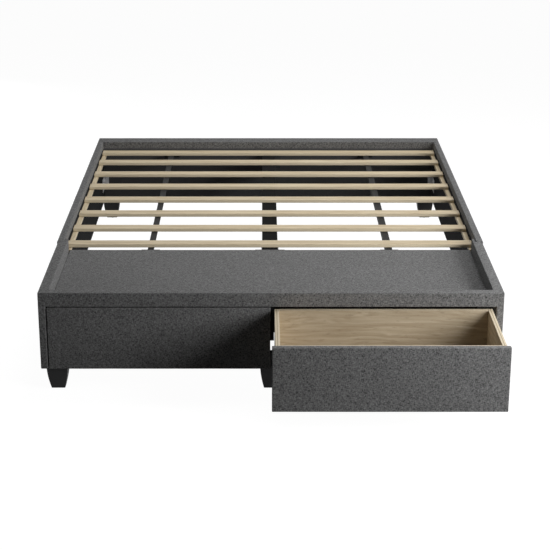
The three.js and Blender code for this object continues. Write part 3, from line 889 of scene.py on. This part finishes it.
def leg(name):
    """A square leg that bows and tapers down to a nylon glide."""
    low, high = box(name)
    centre = (low + high) / 2
    bm = bmesh.new()
    add_box(bm, low + Vector((0, 0, GLIDE_HEIGHT)), high)
    for height in at_shares(GLIDE_HEIGHT, high.z, [step / LEG_SLICES for step in range(1, LEG_SLICES)]):
        cut_across(bm, (0, 0, height), (0, 0, 1))
    for vertex in bm.verts:
        rise = (vertex.co.z - low.z) / (high.z - low.z)
        share = LEG_TOE + (1 - LEG_TOE) * rise + LEG_BOW * math.sin(math.pi * rise)
        share = min(share, 1.0)
        vertex.co.x = centre.x + (vertex.co.x - centre.x) * share
        vertex.co.y = centre.y + (vertex.co.y - centre.y) * share
    arrises = []
    for edge in bm.edges:
        run = edge.verts[1].co - edge.verts[0].co
        if abs(run.normalized().z) > 0.8:
            arrises.append(edge)
    round_edges(bm, arrises, LEG_ARRIS, 3)
    made = piece(f"{name}_turned", bm, BLACK_WOOD, "frame", sharp=40)
    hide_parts(name)
    glide = bmesh.new()
    height = GLIDE_HEIGHT + GLIDE_SEATED
    middle = Matrix.Translation((centre.x, centre.y, height / 2))
    bmesh.ops.create_cone(glide, cap_ends=True, segments=28, radius1=GLIDE_RADIUS - GLIDE_TAPER,
                          radius2=GLIDE_RADIUS, depth=height, matrix=middle)
    piece(f"{name}_glide", glide, NYLON, "frame")


for name in nodes_with("leg_"):
    leg(name)


# ---- Fittings of the frame ----

def slat_brads():
    """Two nail heads at each end of each slat, over the ledgers."""
    brads = bmesh.new()
    for name in nodes_with("slat_"):
        low, high = box(name)
        for side in SIDES:
            ledger = box(f"ledger_{side}")
            x = (ledger[0].x + ledger[1].x) / 2
            for y in at_shares(low.y, high.y, (0.25, 0.75)):
                place = Matrix.Translation((x, y, high.z))
                bmesh.ops.create_cone(brads, cap_ends=True, segments=12, radius1=BRAD_RADIUS,
                                      radius2=BRAD_RADIUS * 0.8, depth=BRAD_HEIGHT, matrix=place)
    piece("slat_brads", brads, ZINC_STEEL, "frame")


def corner_bolts():
    """Two bolts in each leaf of each corner bracket."""
    bolts = bmesh.new()
    for name, side in SIDES.items():
        bracket = f"corner_bracket_{name}"
        low, high = box(bracket)
        leaf_x = outer_x(bracket, side) - side * PLATE
        middle_x = (leaf_x + inner_x(bracket, side)) / 2
        y = high.y - (high.y - low.y) * 0.6
        for z in at_shares(low.z, high.z, (0.25, 0.75)):
            socket_screw(bolts, (leaf_x, y, z), (-side, 0, 0), *CORNER_BOLT)
            socket_screw(bolts, (middle_x, high.y - PLATE, z), (0, -1, 0), *CORNER_BOLT)
    piece("corner_bolts", bolts, BRACKET_STEEL, "frame")


def bearer_screws():
    """Screws in the end plates of the support bars, and in the wings of the beam's hangers."""
    screws = bmesh.new()
    for name in nodes_with("support_bar"):
        low, high = box(name)
        middle = (low.x + high.x) / 2
        z = (low.z + high.z) / 2
        for x in (middle - BAR_SCREWS, middle + BAR_SCREWS):
            for y, out in ((low.y + PLATE, 1), (high.y - PLATE, -1)):
                socket_screw(screws, (x, y, z), (0, out, 0), *BEARER_SCREW)
    for name, out in (("beam_hanger_foot", 1), ("beam_hanger_head", -1)):
        low, high = box(name)
        y = low.y + HANGER_SHEET if out > 0 else high.y - HANGER_SHEET
        for x in (HANGER_SCREWS - high.x, high.x - HANGER_SCREWS):
            for z in at_shares(low.z, high.z, (0.2, 0.5, 0.8)):
                socket_screw(screws, (x, y, z), (0, out, 0), *BEARER_SCREW)
    piece("bearer_screws", screws, DARK_BOLT, "frame")


slat_brads()
corner_bolts()
bearer_screws()


# ---- Stage, light and camera ----

def light_path(tree):
    """1 for what the camera sees directly, by reflection or through glass."""
    path = add_node(tree, "ShaderNodeLightPath").outputs
    seen = maths(tree, "MAXIMUM", path["Is Camera Ray"], path["Is Glossy Ray"])
    return maths(tree, "MAXIMUM", seen, path["Is Transmission Ray"])


def lit_and_seen(tree, output, lit, seen):
    """Ends a tree with a shader that lights the object, and one for what light_path picks out."""
    inputs = {0: light_path(tree), 1: lit.outputs[0], 2: seen.outputs[0]}
    both = add_node(tree, "ShaderNodeMixShader", inputs)
    add_node(tree, output, {"Surface": both.outputs[0]})


def floor():
    bm = bmesh.new()
    bmesh.ops.create_grid(bm, x_segments=1, y_segments=1, size=FLOOR_HALF)
    mesh = bpy.data.meshes.new("floor")
    bm.to_mesh(mesh)
    bm.free()
    made = bpy.data.objects.new("floor", mesh)
    bpy.context.scene.collection.objects.link(made)
    made.location = FLOOR_CENTRE
    material = bpy.data.materials.new("Pale floor")
    material.use_nodes = True
    tree = material.node_tree
    tree.nodes.clear()
    matt = add_node(tree, "ShaderNodeBsdfDiffuse", {"Color": (0.15, 0.15, 0.15)})
    glow = add_node(tree, "ShaderNodeEmission", {"Color": (1, 1, 1), "Strength": FLOOR_GLOW})
    bright = add_node(tree, "ShaderNodeAddShader", {0: matt.outputs[0], 1: glow.outputs[0]})
    lit_and_seen(tree, "ShaderNodeOutputMaterial", matt, bright)
    mesh.materials.append(material)


def world():
    made = bpy.data.worlds.new("Studio")
    bpy.context.scene.world = made
    made.use_nodes = True
    tree = made.node_tree
    tree.nodes.clear()
    dim = add_node(tree, "ShaderNodeBackground", {"Color": (1, 1, 1), "Strength": WORLD_LIGHT})
    white = add_node(tree, "ShaderNodeBackground", {"Color": (1, 1, 1), "Strength": 1.0})
    lit_and_seen(tree, "ShaderNodeOutputWorld", dim, white)


def softbox(name, place, target, size, power, spread_angle=180):
    lamp = bpy.data.lights.new(name, "AREA")
    lamp.shape = "RECTANGLE"
    lamp.size, lamp.size_y = size
    lamp.energy = power
    lamp.spread = math.radians(spread_angle)
    made = bpy.data.objects.new(name, lamp)
    bpy.context.scene.collection.objects.link(made)
    made.location = place
    made.rotation_euler = (Vector(target) - Vector(place)).to_track_quat("-Z", "Y").to_euler()


def lights():
    """A key lamp low on the right, a broad lamp overhead, and a low fill behind on the left."""
    front_middle = Vector((0, foot_y, rim_z / 2))
    level = math.cos(KEY_HEIGHT)
    right = math.sin(KEY_AZIMUTH) * level
    forward = math.cos(KEY_AZIMUTH) * level
    reach = Vector((right, -forward, math.sin(KEY_HEIGHT)))
    softbox("key", front_middle + reach * KEY_DISTANCE, front_middle, (1.5, 1.1), 58.5)
    softbox("overhead", (0.8, 0.75, 3.4), (0.1, 0.7, 0), (2.0, 2.6), 31, 110)
    softbox("back fill", (-2.9, 3.9, 0.19), (-0.4, 0.9, 0.19), (1.8, 0.34), 22, 90)


def camera():
    made = bpy.data.objects.new("camera", bpy.data.cameras.new("camera"))
    bpy.context.scene.collection.objects.link(made)
    made.data.sensor_width = SENSOR
    made.data.lens = LENS
    made.data.shift_x = CAMERA_SHIFT
    made.data.clip_end = 100
    made.location = (CAMERA_X, foot_y - CAMERA_DISTANCE, rim_z + CAMERA_RISE)
    made.rotation_euler = (math.pi / 2 - PITCH, 0, 0)
    bpy.context.scene.camera = made


floor()
world()
lights()
camera()
bpy.context.scene.view_settings.view_transform = "Standard"
